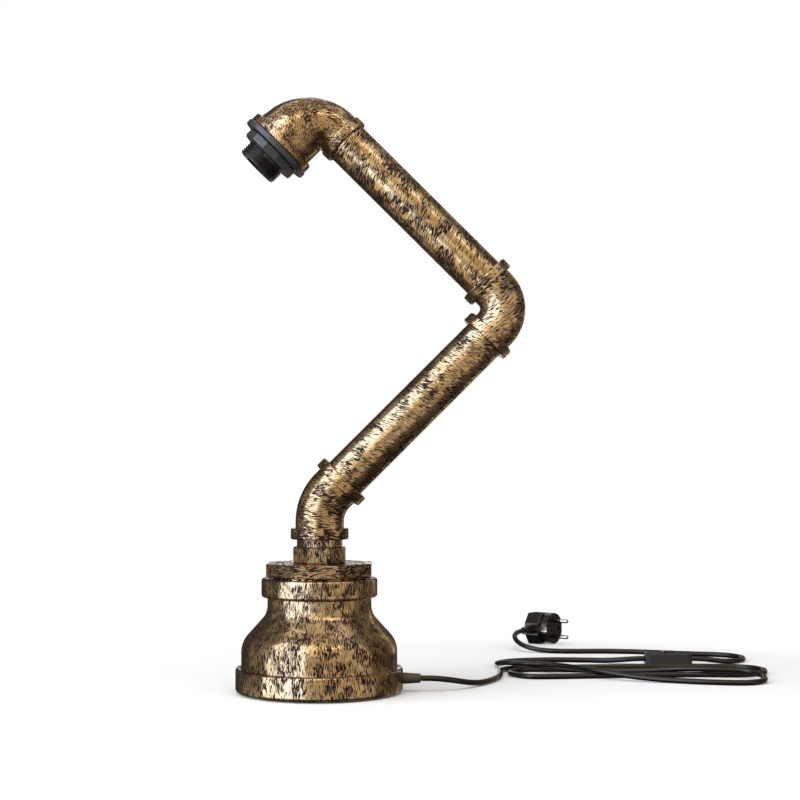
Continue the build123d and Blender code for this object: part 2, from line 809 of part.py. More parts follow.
with BuildPart() as lamp_cable_lower:
    add(swept((
        UP * cable_split,
        knee_corner - UP * knee_cut,
        knee_corner + lower_dir * knee_cut,
        middle_corner - lower_dir * middle_reach,
    ), cable_radius))
save(lamp_cable_lower, "lamp_cable_lower")

with BuildPart() as lamp_cable_upper:
    add(swept((
        middle_corner - lower_dir * middle_reach,
        middle_corner - lower_dir * middle_cut,
        middle_corner + upper_dir * middle_cut,
        head_corner - upper_dir * head_reach,
    ), cable_radius))
save(lamp_cable_upper, "lamp_cable_upper")

# ================================================================ head
bend_pivot = head_corner - upper_dir * head_bend_start + head_dir * head_pivot


def bend_section(step, wall):
    """Plane and radius of one section of the reducing bend, turned about its pivot line."""
    growth = (head_end_radius - head_start_radius) * head_growth[step] / head_growth[-1]
    radius = head_start_radius + growth
    away = ray(lower_angle + 90 * step / (len(head_growth) - 1))
    centre = bend_pivot + away * (head_inner_radius + radius)
    return Plane(origin=centre, x_dir=FORTH, z_dir=away.cross(FORTH)), radius - wall


def reducing_bend(wall):
    """Bend of the head elbow, its radius growing towards the large mouth, and its straight skirt."""
    sections = [bend_section(step, wall) for step in range(len(head_growth))]
    with BuildPart() as bend:
        for plane, radius in sections:
            with BuildSketch(plane):
                Circle(radius)
        loft()
    plane, radius = sections[-1]
    with BuildPart() as skirt:
        with BuildSketch(plane):
            Circle(radius)
        with BuildSketch(head_plane(head_mouth - head_mouth_band + head_skirt_overlap)):
            Circle(head_skirt_radius - wall)
        loft()
    return bend.part, skirt.part


with BuildPart() as head_elbow:
    for solid in reducing_bend(0):
        add(solid)
    add(bar(head_corner - upper_dir * head_reach, upper_dir, head_band_length, head_band_radius,
            band_rounding))
    add(bar(head_corner + head_dir * head_mouth, head_dir * -1, head_mouth_band, head_mouth_radius,
            band_rounding))
    for void in reducing_bend(head_wall):
        add(void, mode=Mode.SUBTRACT)
    add(bar(head_corner - upper_dir * (head_reach + seat), upper_dir, socket_depth + seat, pipe_socket),
        mode=Mode.SUBTRACT)
    add(bar(head_corner + head_dir * (head_mouth + seat), head_dir * -1,
            flange_spigot_length + 2 * seat, head_socket_radius), mode=Mode.SUBTRACT)
save(head_elbow, "head_elbow")

flange_front = head_mouth + flange_height
ring_back = flange_front + ring_gap
ring_front = ring_back + ring_height
ledge = flange_front - ledge_sink
skirt_end = ring_front + seat + skirt_thread_length

with BuildPart() as head_flange:
    with BuildSketch(head_plane(head_mouth)):
        Circle(flange_radius)
    extrude(amount=flange_height)
    fillet(head_flange.edges(), flange_rounding)
    with BuildSketch(head_plane(head_mouth)):
        Circle(head_socket_radius - slip)
        Circle(flange_spigot_bore, mode=Mode.SUBTRACT)
    extrude(amount=-flange_spigot_length)
    with BuildSketch(head_plane(head_mouth)):
        Circle(skirt_neck_radius + slip)
    extrude(amount=flange_height, mode=Mode.SUBTRACT)
save(head_flange, "head_flange")

with BuildPart() as shade_ring:
    with BuildSketch(head_plane(ring_back)):
        RegularPolygon(ring_corner_radius, ring_sides, rotation=ring_turn)
    extrude(amount=ring_height)
    chamfer(shade_ring.faces().filter_by(Plane(origin=(0, 0, 0), z_dir=head_dir)).edges(), ring_chamfer)
    with BuildSketch(head_plane(ring_back)):
        Circle(skirt_neck_radius + slip)
    extrude(amount=ring_height, mode=Mode.SUBTRACT)
save(shade_ring, "shade_ring")

cup_back = head_mouth - skirt_shoulder_height - cup_depth
with BuildPart() as holder_skirt:
    with BuildSketch(head_section):
        add(outline(
            (insert_radius + slip, cup_back),
            (cup_radius, cup_back),
            (cup_radius, head_mouth - skirt_shoulder_height),
            (skirt_shoulder_radius, head_mouth - skirt_shoulder_height),
            (skirt_shoulder_radius, head_mouth),
            (skirt_neck_radius, head_mouth),
            (skirt_neck_radius, ring_front + seat),
            (skirt_radius, ring_front + seat),
            (skirt_radius, skirt_end, skirt_end_rounding),
            (shell_radius + shell_wall + slip, skirt_end, skirt_mouth_rounding),
            (shell_radius + shell_wall + slip, ledge),
            (insert_radius + slip, ledge),
        ))
    revolve(axis=head_axis)
save(holder_skirt, "holder_skirt")

with BuildPart() as holder_insert:
    with BuildSketch(head_plane(ledge - insert_height)):
        Circle(insert_radius)
        Circle(rivet_radius + slip, mode=Mode.SUBTRACT)
        with Locations((side_contact_radius, 0)):
            Circle(rivet_radius + slip, mode=Mode.SUBTRACT)
    extrude(amount=insert_height)
save(holder_insert, "holder_insert")

with BuildPart() as screw_shell:
    with BuildSketch(head_section):
        add(outline(
            (shell_lip, ledge),
            (shell_radius + shell_wall, ledge, shell_corner + shell_wall),
            (shell_radius + shell_wall, ledge + shell_length),
            (shell_radius, ledge + shell_length),
            (shell_radius, ledge + shell_wall, shell_corner),
            (shell_lip, ledge + shell_wall),
        ))
    revolve(axis=head_axis)
    with BuildSketch(head_plane(ledge)):
        with Locations((side_contact_radius, 0)):
            Circle(rivet_radius + slip)
    extrude(amount=shell_wall, mode=Mode.SUBTRACT)
save(screw_shell, "screw_shell")

block_back = ledge - insert_height - holder_block_height
rivet_back = block_back + rivet_inset
with BuildPart() as centre_contact:
    with BuildSketch(head_section):
        add(outline(
            (0, rivet_back),
            (rivet_radius, rivet_back),
            (rivet_radius, ledge),
            (centre_contact_radius, ledge),
            (centre_contact_radius, ledge + centre_contact_height, centre_contact_rounding),
            (0, ledge + centre_contact_height + centre_contact_crown),
        ))
    revolve(axis=head_axis)
save(centre_contact, "centre_contact")

with BuildPart() as side_contact:
    with BuildSketch(head_plane(rivet_back)):
        with Locations((side_contact_radius, 0)):
            Circle(rivet_radius)
    extrude(amount=ledge + shell_wall - rivet_back)
    with BuildSketch(head_plane(ledge + shell_wall)):
        with Locations((side_contact_radius, 0)):
            Circle(rivet_head_radius)
    extrude(amount=rivet_head_height)
save(side_contact, "side_contact")

with BuildPart() as holder_terminals:
    with BuildSketch(head_plane(block_back)):
        for place in (-holder_wire_offset / 2, side_contact_radius + holder_wire_offset / 2):
            with Locations((place, 0)):
                Rectangle(holder_wire_offset + 2 * holder_block_rim, holder_block_width)
        for place in (0, side_contact_radius):
            with Locations((place, 0)):
                Circle(rivet_radius + slip, mode=Mode.SUBTRACT)
        for place in (-holder_wire_offset, side_contact_radius + holder_wire_offset):
            with Locations((place, 0)):
                Circle(core_radius + slip, mode=Mode.SUBTRACT)
    extrude(amount=holder_block_height)
save(holder_terminals, "holder_terminals")

cap_back = cup_back - cap_depth
with BuildPart() as holder_cap:
    with BuildSketch(head_section):
        add(outline(
            (cable_radius + slip, cap_back - cap_hub_height),
            (cap_hub_radius, cap_back - cap_hub_height, cap_hub_rounding),
            (cap_hub_radius, cap_back),
            (cup_radius, cap_back, cap_rounding),
            (cup_radius, cup_back),
            (cup_radius - cup_wall, cup_back),
            (cup_radius - cup_wall, cap_back + cap_wall, cap_inner_rounding),
            (cable_radius + slip, cap_back + cap_wall),
        ))
    revolve(axis=head_axis)
save(holder_cap, "holder_cap")

cable_stop = cap_back + cap_wall + cable_tail
with BuildPart() as lamp_cable_head:
    add(swept((
        head_corner - upper_dir * head_reach,
        head_corner - upper_dir * head_cut,
        head_corner + head_dir * head_cut,
        head_corner + head_dir * cable_stop,
    ), cable_radius))
save(lamp_cable_head, "lamp_cable_head")

for pole, side, place in (("live", -1, -holder_wire_offset),
                          ("neutral", 1, side_contact_radius + holder_wire_offset)):
    start = head_corner + head_dir * cable_stop + FORTH * side * core_circle_radius
    finish = head_corner + FORTH * place + head_dir * (block_back + holder_block_height / 2)
    lead("holder_lead_" + pole, (
        start,
        start + head_dir * holder_lead_straight,
        finish - head_dir * (holder_block_height / 2 + holder_lead_straight),
        finish,
    ))

# ================================================================ cord on the floor
switch_left = switch_x - switch_length / 2 + cord_grip
switch_right = switch_x + switch_length / 2 - cord_grip
entry_route = (
    (bush_tip, 0, cord_height), (108, 0, cord_height), (121.5, 3.5, 11), (134, 11.5, 8.2),
    (145, 23, 5.2), (155, 36.5, 3.3), (164, 51.5, cord_radius), (171.5, 67.5, cord_radius),
    (176.5, 84, cord_radius), (179.3, 101, cord_radius), (180, 118, cord_radius),
)
switch_route = (
    (225, 138.5, 8.4), (207.7, 141.3, 8.2), (190.6, 151.1, 7.2), (180.8, 168.2, 5.4),
    (180.8, 187.8, 3.8), (190.6, 204.9, cord_radius), (207.7, 214.7, cord_radius),
    (227, 219.4, cord_radius), (247, 221.2, cord_radius), (268, 220.4, cord_radius),
    (287, 217.4, cord_radius), (305, 212.2, 3.2), (320, 206.6, 4.8),
    (switch_left - switch_run, switch_y, switch_split), (switch_left, switch_y, switch_split),
)
plug_route = (
    (switch_right, switch_y, switch_split), (switch_right + switch_run, switch_y, switch_split),
    (416.5, 203.2, 4.6), (432.5, 205.1, cord_radius), (447.3, 213.7, cord_radius),
    (455.9, 228.5, cord_radius), (455.9, 245.5, cord_radius), (447.3, 260.3, cord_radius),
    (432.5, 268.9, cord_radius), (415.5, 272.9, cord_radius), (398, 277.6, cord_radius),
    (380, 284.2, cord_radius), (361, 291, cord_radius), (341, 296.4, cord_radius),
    (320, 299.6, cord_radius), (298.5, 300.2, cord_radius), (275, 298.6, cord_radius),
    (252.5, 301.2, cord_radius), (232, 308.5, 3.8), (216.4, 322.5, 8), (210.7, 341.1, 13.8),
    (214.1, 358.8, cord_rise), (224.3, 372.4, cord_rise),
)

with BuildPart() as cord_entry:
    add(free_cord("cord_entry", entry_route))
save(cord_entry, "cord_entry")

with BuildPart() as cord_switch_lead:
    add(free_cord("cord_switch_lead", switch_route))
save(cord_switch_lead, "cord_switch_lead")

with BuildPart() as cord_plug_lead:
    add(free_cord("cord_plug_lead", plug_route))
save(cord_plug_lead, "cord_plug_lead")

with BuildPart() as cord_coil:
    with BuildSketch():
        with Locations(coil_left):
            Circle(coil_left_radius)
        with Locations(coil_right):
            Circle(coil_right_radius)
        make_hull()
    extrude(amount=coil_height)
    with BuildSketch():
        with Locations(coil_left):
            Circle(coil_left_radius - coil_band)
        with Locations(coil_right):
            Circle(coil_right_radius - coil_band)
        make_hull()
    extrude(amount=coil_height, mode=Mode.SUBTRACT)
save(cord_coil, "cord_coil")

# ================================================================ inline switch
half_length = switch_length / 2
half_width = switch_width / 2
nose_x = half_length - switch_nose
nose_y = half_width - switch_nose
switch_plan = (
    (-half_length, -nose_y), (-nose_x, -half_width), (nose_x, -half_width), (half_length, -nose_y),
    (half_length, nose_y), (nose_x, half_width), (-nose_x, half_width), (-half_length, nose_y),
)
switch_room = (switch_length - 2 * switch_end_wall, switch_width - 2 * switch_wall)
post_x = switch_room[0] / 2 - post_radius + post_root
post_y = switch_room[1] / 2 - post_radius + post_root
post_places = ((post_x, -post_y), (-post_x, post_y))
switch_cord_hole = bar(Vector(switch_x - switch_length, switch_y, switch_split), RIGHT,
                       2 * switch_length, cord_radius + slip)

with BuildPart() as switch_base:
    with BuildSketch(Plane((switch_x, switch_y, 0))):
        add(outline(*switch_plan))
    extrude(amount=switch_split)
    chamfer(switch_base.faces().sort_by(Axis.Z)[0].edges(), switch_chamfer)
    with BuildSketch(Plane((switch_x, switch_y, switch_wall))):
        Rectangle(*switch_room)
    extrude(amount=switch_split - switch_wall, mode=Mode.SUBTRACT)
    with BuildSketch(Plane((switch_x, switch_y, switch_wall))):
        with Locations(*post_places):
            Circle(post_radius)
    extrude(amount=switch_split - switch_wall)
    with BuildSketch(Plane((switch_x, switch_y, 0))):
        with Locations(*post_places):
            Circle(switch_screw_radius + screw_fit)
    extrude(amount=switch_split, mode=Mode.SUBTRACT)
    with BuildSketch(Plane((switch_x, switch_y, 0))):
        with Locations(*post_places):
            Circle(switch_screw_radius * pan_head_ratio + screw_fit)
    extrude(amount=switch_screw_sink, mode=Mode.SUBTRACT)
    add(switch_cord_hole, mode=Mode.SUBTRACT)
save(switch_base, "switch_base")

with BuildPart() as switch_cover:
    with BuildSketch(Plane((switch_x, switch_y, switch_split))):
        add(outline(*switch_plan))
    extrude(amount=switch_height - switch_split)
    chamfer(switch_cover.faces().sort_by(Axis.Z)[-1].edges(), switch_chamfer)
    with BuildSketch(Plane((switch_x, switch_y, switch_split))):
        Rectangle(*switch_room)
    extrude(amount=switch_height - switch_split - switch_wall, mode=Mode.SUBTRACT)
    with BuildSketch(Plane((switch_x, switch_y, switch_split))):
        with Locations(*post_places):
            Circle(post_radius)
    extrude(amount=switch_height - switch_split - switch_wall)
    with BuildSketch(Plane((switch_x, switch_y, pivot_height - lug_drop))):
        with GridLocations(0, rocker_width + 2 * rocker_gap + lug_width, 1, 2):
            Rectangle(lug_length, lug_width)
    extrude(amount=switch_height - switch_wall / 2 - pivot_height + lug_drop)
    with BuildSketch(Plane((switch_x, switch_y, switch_height))):
        Rectangle(rocker_length + 2 * rocker_gap + rocker_swing, rocker_width + 2 * rocker_gap)
    extrude(amount=-2 * switch_wall, mode=Mode.SUBTRACT)
    add(bar(Vector(switch_x, switch_y - switch_width / 4 - lug_width, pivot_height), FORTH,
            switch_width / 2 + 2 * lug_width, pin_radius + slip), mode=Mode.SUBTRACT)
    with BuildSketch(Plane((switch_x, switch_y, switch_split))):
        with Locations(*post_places):
            Circle(switch_screw_radius + screw_fit)
    extrude(amount=switch_screw_bite + seat, mode=Mode.SUBTRACT)
    add(switch_cord_hole, mode=Mode.SUBTRACT)
save(switch_cover, "switch_cover")

with BuildPart() as switch_screws:
    with Locations(Plane(origin=(switch_x, switch_y, switch_screw_sink), x_dir=(1, 0, 0), z_dir=(0, 0, -1))):
        with Locations(*[(x, -y) for x, y in post_places]):
            add(pan_screw(switch_screw_radius, switch_split - switch_screw_sink + switch_screw_bite))
save(switch_screws, "switch_screws")

rocker_pivot = Vector(switch_x, switch_y, pivot_height)
with BuildPart() as switch_rocker:
    with BuildSketch(Plane(origin=rocker_pivot - FORTH * rocker_width / 2,
                           x_dir=ray(-rocker_tilt), z_dir=(0, -1, 0))):
        add(outline(
            (-rocker_length / 2, -rocker_skirt),
            (rocker_length / 2, -rocker_skirt),
            (rocker_length / 2, rocker_rise + rocker_ear, rocker_ear_rounding),
            (0, rocker_rise),
            (-rocker_length / 2, rocker_rise + rocker_ear, rocker_ear_rounding),
        ))
        Circle(rocker_hub_radius)
    extrude(amount=-rocker_width)
    add(bar(rocker_pivot - FORTH * rocker_width, FORTH, 2 * rocker_width, pin_radius + slip),
        mode=Mode.SUBTRACT)
save(switch_rocker, "switch_rocker")

pin_length = rocker_width + 2 * rocker_gap + 2 * lug_width - 2 * slip
with BuildPart() as rocker_pin:
    add(bar(rocker_pivot - FORTH * pin_length / 2, FORTH, pin_length, pin_radius))
save(rocker_pin, "rocker_pin")

with BuildPart() as switch_terminals:
    with BuildSketch(Plane((switch_x, switch_y - terminal_shift, switch_wall))):
        with GridLocations(2 * terminal_place, 0, 2, 1):
            Rectangle(switch_terminal_length, switch_terminal_width)
    extrude(amount=switch_terminal_height)
    with BuildSketch(Plane((switch_x, switch_y - terminal_shift, switch_wall + switch_terminal_height))):
        with GridLocations(2 * terminal_place, 0, 2, 1):
            Circle(switch_grub_radius)
    extrude(amount=switch_grub_height)
save(switch_terminals, "switch_terminals")

core_end = switch_length / 2 - cord_grip
switch_middle = Vector(switch_x, switch_y, switch_split)
with BuildPart() as switch_cores:
    for angle, drop in ((90, 0), (330, switch_core_drop)):
        core = core_place(angle)
        lane = FORTH * switch_core_side - UP * drop
        add(swept((
            switch_middle + core - RIGHT * core_end,
            switch_middle + core - RIGHT * (core_end - core_straight),
            switch_middle + lane - RIGHT * core_lane,
            switch_middle + lane + RIGHT * core_lane,
            switch_middle + core + RIGHT * (core_end - core_straight),
            switch_middle + core + RIGHT * core_end,
        ), core_radius))
    for way in (-1, 1):
        core = core_place(210)
        target = Vector(switch_x + way * (terminal_place + switch_terminal_length / 2),
                        switch_y - terminal_shift, switch_wall + switch_terminal_height / 2)
        add(swept((
            switch_middle + core + RIGHT * way * core_end,
            switch_middle + core + RIGHT * way * (core_end - core_straight),
            target + RIGHT * way * core_straight,
            target,
        ), switched_core_radius))
save(switch_cores, "switch_cores")

# ================================================================ plug
plug_route_end = Vector(*plug_route[-1])
cord_leaves = Vector(-0.6, -0.8, 0)     # way the cord leaves the plug
pins_point = cord_leaves.cross(UP) * -1
plug_centre = plug_route_end - cord_leaves * (plug_shoulder + relief_length)


def plug_plane(station):
    """Plane square to the pins; its x axis points the way the cord leaves."""
    return Plane(origin=plug_centre + pins_point * station, x_dir=cord_leaves, z_dir=pins_point)


with BuildPart() as plug_body:
    with BuildSketch(plug_plane(-plug_back)):
        Circle(plug_radius)
        add(outline(
            (0, -plug_radius), (plug_flank, -plug_radius), (plug_shoulder, -plug_neck),
            (plug_shoulder, plug_neck), (plug_flank, plug_radius), (0, plug_radius),
        ))
    extrude(amount=plug_back + plug_front)
    chamfer(plug_body.faces().filter_by(Plane(origin=(0, 0, 0), z_dir=pins_point)).edges(), plug_chamfer)
    with BuildSketch(plug_plane(plug_front)):
        Circle(plug_radius)
        for way in (-1, 1):
            with Locations((way * plug_radius, 0)):
                Rectangle(2 * earth_notch, earth_width + 2 * seat, mode=Mode.SUBTRACT)
    extrude(amount=plug_face - plug_front)
    with BuildSketch(plug_plane(plug_face)):
        with GridLocations(0, pin_spacing, 1, 2):
            Circle(pin_shank_radius + slip)
    extrude(amount=-pin_root, mode=Mode.SUBTRACT)
    with BuildSketch(plug_plane(plug_face)):
        with Locations((-earth_hole_offset, 0)):
            Circle(earth_hole_radius)
    extrude(amount=-earth_hole_depth, mode=Mode.SUBTRACT)
save(plug_body, "plug_body")

relief_section = Plane(origin=plug_centre, x_dir=cord_leaves, z_dir=cord_leaves.cross(UP))
rib_pitch = relief_length / relief_ribs
relief_profile = [(plug_shoulder, 0)]
for rib in range(relief_ribs):
    rib_start = plug_shoulder + rib * rib_pitch
    rib_radius = relief_root + (relief_tip - relief_root) * rib / (relief_ribs - 1)
    relief_profile += [(rib_start, rib_radius), (rib_start + relief_rib_share * rib_pitch, rib_radius)]
    if rib < relief_ribs - 1:
        relief_profile += [(rib_start + relief_rib_share * rib_pitch, rib_radius - relief_groove),
                           (rib_start + rib_pitch, rib_radius - relief_groove)]
relief_profile += [(plug_shoulder + relief_length, relief_tip), (plug_shoulder + relief_length, 0)]
with BuildPart() as plug_relief:
    with BuildSketch(relief_section):
        add(outline(*relief_profile))
    revolve(axis=Axis(plug_centre, cord_leaves))
save(plug_relief, "plug_relief")

with BuildPart() as plug_pins:
    with BuildSketch(plug_plane(plug_face - pin_root)):
        with GridLocations(0, pin_spacing, 1, 2):
            Circle(pin_shank_radius)
    extrude(amount=pin_root + sleeve_reach)
    with BuildSketch(plug_plane(plug_face + sleeve_reach)):
        with GridLocations(0, pin_spacing, 1, 2):
            Circle(pin_outer_radius)
    extrude(amount=pin_reach - sleeve_reach)
    pin_tips = plug_pins.edges().filter_by(GeomType.CIRCLE).group_by(Axis(plug_centre, pins_point))[-1]
    fillet(pin_tips, pin_tip_rounding)
save(plug_pins, "plug_pins")

with BuildPart() as pin_sleeves:
    with BuildSketch(plug_plane(plug_face)):
        with GridLocations(0, pin_spacing, 1, 2):
            Circle(pin_outer_radius)
            Circle(pin_shank_radius + slip, mode=Mode.SUBTRACT)
    extrude(amount=sleeve_reach)
save(pin_sleeves, "pin_sleeves")

with BuildPart() as earth_clips:
    for way in (-1, 1):
        with BuildSketch(Plane(origin=plug_centre + pins_point * plug_front, x_dir=cord_leaves * way,
                               z_dir=pins_point)):
            with Locations((plug_radius - earth_notch + clip_thickness / 2, 0)):
                Rectangle(clip_thickness, earth_width)
        extrude(amount=plug_face - plug_front)
save(earth_clips, "earth_clips")
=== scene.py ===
"""Finish, cords, threads and studio for the industrial pipe table lamp."""
import json
from math import cos, radians, sin, tau

import bmesh
import bpy
from mathutils import Matrix, Vector


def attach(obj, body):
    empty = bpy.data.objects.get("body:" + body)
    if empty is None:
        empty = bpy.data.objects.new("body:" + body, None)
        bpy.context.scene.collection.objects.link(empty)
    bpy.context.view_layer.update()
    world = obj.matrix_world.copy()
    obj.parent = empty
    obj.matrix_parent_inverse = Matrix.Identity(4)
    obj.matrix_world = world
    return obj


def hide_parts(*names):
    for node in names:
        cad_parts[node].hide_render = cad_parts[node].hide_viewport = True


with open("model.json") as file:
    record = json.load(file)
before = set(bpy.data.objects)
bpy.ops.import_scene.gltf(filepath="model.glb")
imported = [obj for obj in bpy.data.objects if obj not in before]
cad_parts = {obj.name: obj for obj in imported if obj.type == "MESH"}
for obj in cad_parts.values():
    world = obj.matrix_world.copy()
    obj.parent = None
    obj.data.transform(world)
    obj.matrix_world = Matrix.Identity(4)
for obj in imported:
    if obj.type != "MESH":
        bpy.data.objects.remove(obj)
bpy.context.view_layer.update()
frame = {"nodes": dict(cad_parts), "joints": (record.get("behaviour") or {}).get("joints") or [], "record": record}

MM = 0.001
nodes = frame["nodes"]
scene = bpy.context.scene
hinge = {joint["name"]: joint for joint in frame["joints"]}
mount = {entry["name"]: entry for entry in frame["record"]["mounts"]}

knee = Vector(hinge["base_swivel"]["pos_m"])
middle = Vector(hinge["arm_roll"]["pos_m"])
corner = Vector(hinge["head_roll"]["pos_m"])
lower_way = Vector(hinge["arm_roll"]["axis"])
upper_way = Vector(hinge["head_roll"]["axis"])
head_way = Vector(mount["bulb_socket"]["axis"])
FORTH = Vector((0, 1, 0))
UP = Vector((0, 0, 1))


# ================================================================ shader arithmetic
class Wire:
    """A shader socket that takes part in sums; each sum adds its Math node."""

    def __init__(self, paint, socket):
        self.paint, self.socket = paint, socket

    def sum(self, operation, *values):
        return self.paint.node("Math", {"operation": operation}, dict(enumerate(values)))

    def __add__(self, other):
        return self.sum("ADD", self, other)

    def __sub__(self, other):
        return self.sum("SUBTRACT", self, other)

    def __rsub__(self, other):
        return self.sum("SUBTRACT", other, self)

    def __mul__(self, other):
        return self.sum("MULTIPLY", self, other)

    def __truediv__(self, other):
        return self.sum("DIVIDE", self, other)

    def root(self):
        return self.sum("SQRT", self)

    def at_most(self, most):
        return self.sum("MINIMUM", self, most)

    def turn(self, out):
        """Angle of a point that rises this far and lies that far out, in radians."""
        return self.sum("ARCTAN2", self, out)

    __radd__ = __add__
    __rmul__ = __mul__


class Paint:
    """A material, or the world, in the making."""

    def __init__(self, owner):
        self.owner = owner
        owner.use_nodes = True
        self.tree = owner.node_tree
        self.shader = self.tree.nodes.get("Principled BSDF")

    def node(self, kind, settings=(), sockets=(), out=0):
        """Any node: its settings are set first, then its sockets get values or links."""
        node = self.tree.nodes.new("ShaderNode" + kind)
        for name, value in dict(settings).items():
            setattr(node, name, value)
        for name, value in dict(sockets).items():
            self.feed(node.inputs[name], value)
        return Wire(self, node.outputs[out])

    def feed(self, socket, value):
        if isinstance(value, Wire):
            self.tree.links.new(value.socket, socket)
        else:
            socket.default_value = value

    def dress(self, **sockets):
        """Set or link the shader's sockets, named with underlines for spaces."""
        for name, value in sockets.items():
            self.feed(self.shader.inputs[name.replace("_", " ")], value)
        return self.owner

    def point(self):
        """Place on the piece, in millimetres."""
        place = self.node("TexCoord", out="Object")
        return self.node("VectorMath", {"operation": "SCALE"}, {0: place, "Scale": 1 / MM})

    def parts(self, vector):
        split = self.node("SeparateXYZ", sockets={0: vector})
        return [Wire(self, output) for output in split.socket.node.outputs]

    def vector(self, x, y, z):
        return self.node("CombineXYZ", sockets={0: x, 1: y, 2: z})

    def along(self, vector, way, start=(0, 0, 0)):
        """Distance of a point beyond a start, measured along a way."""
        offset = self.node("VectorMath", {"operation": "SUBTRACT"}, {0: vector, 1: start})
        return self.node("VectorMath", {"operation": "DOT_PRODUCT"}, {0: offset, 1: way}, "Value")

    def reach(self, across, deep):
        """Distance from an axis, never quite nothing."""
        return (across * across + deep * deep + 1).root()

    def stretch(self, vector, factors):
        return self.node("VectorMath", {"operation": "MULTIPLY"}, {0: vector, 1: factors})

    def noise(self, vector, size, detail=2, rough=0.5, bend=0, out="Fac"):
        sockets = {"Vector": vector, "Scale": 1 / size, "Detail": detail, "Roughness": rough,
                   "Distortion": bend}
        return self.node("TexNoise", sockets=sockets, out=out)

    def drift(self, vector, size, reach):
        """The point, moved about by up to half the reach."""
        swirl = self.noise(vector, size, detail=1, out="Color")
        swirl = self.node("VectorMath", {"operation": "SUBTRACT"}, {0: swirl, 1: (0.5, 0.5, 0.5)})
        swirl = self.node("VectorMath", {"operation": "SCALE"}, {0: swirl, "Scale": reach})
        return self.node("VectorMath", {"operation": "ADD"}, {0: vector, 1: swirl})

    def step(self, value, low, high, start=0.0, end=1.0):
        """Smooth step from start to end as the value goes from low to high."""
        sockets = {"Value": value, 1: low, 2: high, 3: start, 4: end}
        return self.node("MapRange", {"interpolation_type": "SMOOTHSTEP"}, sockets)

    def blend(self, factor, first, second):
        """Colour that goes from the first to the second."""
        colours = [value if isinstance(value, Wire) else (*value, 1) for value in (first, second)]
        return self.node("Mix", {"data_type": "RGBA"}, {0: factor, 6: colours[0], 7: colours[1]}, 2)

    def bump(self, height, depth, strength=1.0):
        return self.node("Bump", sockets={"Height": height, "Strength": strength, "Distance": depth * MM})


def finish(name, **sockets):
    """A Paint on a new material; the named shader sockets get their values."""
    paint = Paint(bpy.data.materials.new(name))
    paint.dress(**sockets)
    return paint


# ================================================================ aged brass paint
GOLD = (0.70, 0.55, 0.36)
WARM_GOLD = (0.61, 0.43, 0.235)
GLAZE = (0.22, 0.135, 0.078)
DARK_MARK = (0.020, 0.010, 0.007)
MARK_WIDTH = 0.46       # millimetres, as the other sizes here
MARK_LENGTH = 4.0
WANDER_SIZE, WANDER_REACH = 14, 5.5     # how the brush wandered
PATCH_SIZE = 15         # patches where the marks lie thicker
GOLD_SIZE = 34          # areas of the two golds
SPECKLE_SIZE = 0.55
PATCH_EDGE = (0.40, 0.62)       # pattern values between which each layer sets in
MARK_EDGE = (0.556, 0.580)
SMEAR_EDGE = (0.63, 0.67)
GLAZE_EDGE = (0.42, 0.72)
GOLD_EDGE = (0.35, 0.65)
SMEAR_STRETCH = (0.62, 0.62, 0.62)      # smears are this much coarser than marks


def aged_brass(name, marks_along, cover=0.0):
    """Gold paint under brown glaze and short dark brush marks.

    marks_along gives the point in a space where one unit is the width of a mark and the marks run
    along its axes as they do on the piece. cover adds to how much of the piece is marked.
    """
    paint = finish(name, Coat_Roughness=0.10, Coat_IOR=1.9, Specular_IOR_Level=0.15)
    place = paint.point()
    brush = marks_along(paint, paint.drift(place, WANDER_SIZE, WANDER_REACH))
    fine = paint.noise(brush, 1.3, detail=0.8, bend=0.12)
    coarse = paint.noise(paint.stretch(brush, SMEAR_STRETCH), 1.1, detail=1.2, bend=0.2)
    thick = paint.step(paint.noise(place, PATCH_SIZE, detail=2.5, rough=0.62), *PATCH_EDGE)
    marks = paint.step(fine + thick * 0.115 + cover, *MARK_EDGE)
    smears = paint.step(coarse + thick * 0.11 + cover, *SMEAR_EDGE)
    dark = marks + smears * (1 - marks)
    glaze = paint.step(paint.noise(brush, 3.2, rough=0.6) + thick * 0.14, *GLAZE_EDGE)
    gold = paint.blend(paint.step(paint.noise(place, GOLD_SIZE, detail=1), *GOLD_EDGE), GOLD, WARM_GOLD)
    gold = paint.blend(glaze * 0.5, gold, GLAZE)
    colour = paint.blend(dark, gold, DARK_MARK)
    speckle = paint.noise(place, SPECKLE_SIZE, detail=1)
    rough = 0.15 + glaze * 0.08 + dark * 0.30 + speckle * 0.05
    height = dark * 0.8 + paint.noise(brush, 0.7, detail=1) * 0.25 + speckle * 0.10
    return paint.dress(Base_Color=colour, Metallic=1 - dark * 0.6, Roughness=rough,
                       Coat_Weight=0.4 - dark * 0.36, Normal=paint.bump(height, 0.05, 0.4))


def round_upright(radius):
    """Marks that run up and down a round upright piece."""
    def place(paint, point):
        x, y, z = paint.parts(point)
        reach = paint.reach(x, y)
        around = radius / MM / MARK_WIDTH
        return paint.vector(x / reach * around, y / reach * around, (z - reach) / MARK_LENGTH)
    return place


def round_bar(start, way, lean):
    """Marks that run round a bar, leaning along it."""
    side = way.cross(FORTH)

    def place(paint, point):
        origin = start / MM
        length = paint.along(point, way, origin)
        across = paint.along(point, side, origin)
        depth = paint.along(point, FORTH, origin)
        return paint.vector((length + across * lean) / MARK_WIDTH, across / MARK_LENGTH, depth / MARK_LENGTH)
    return place


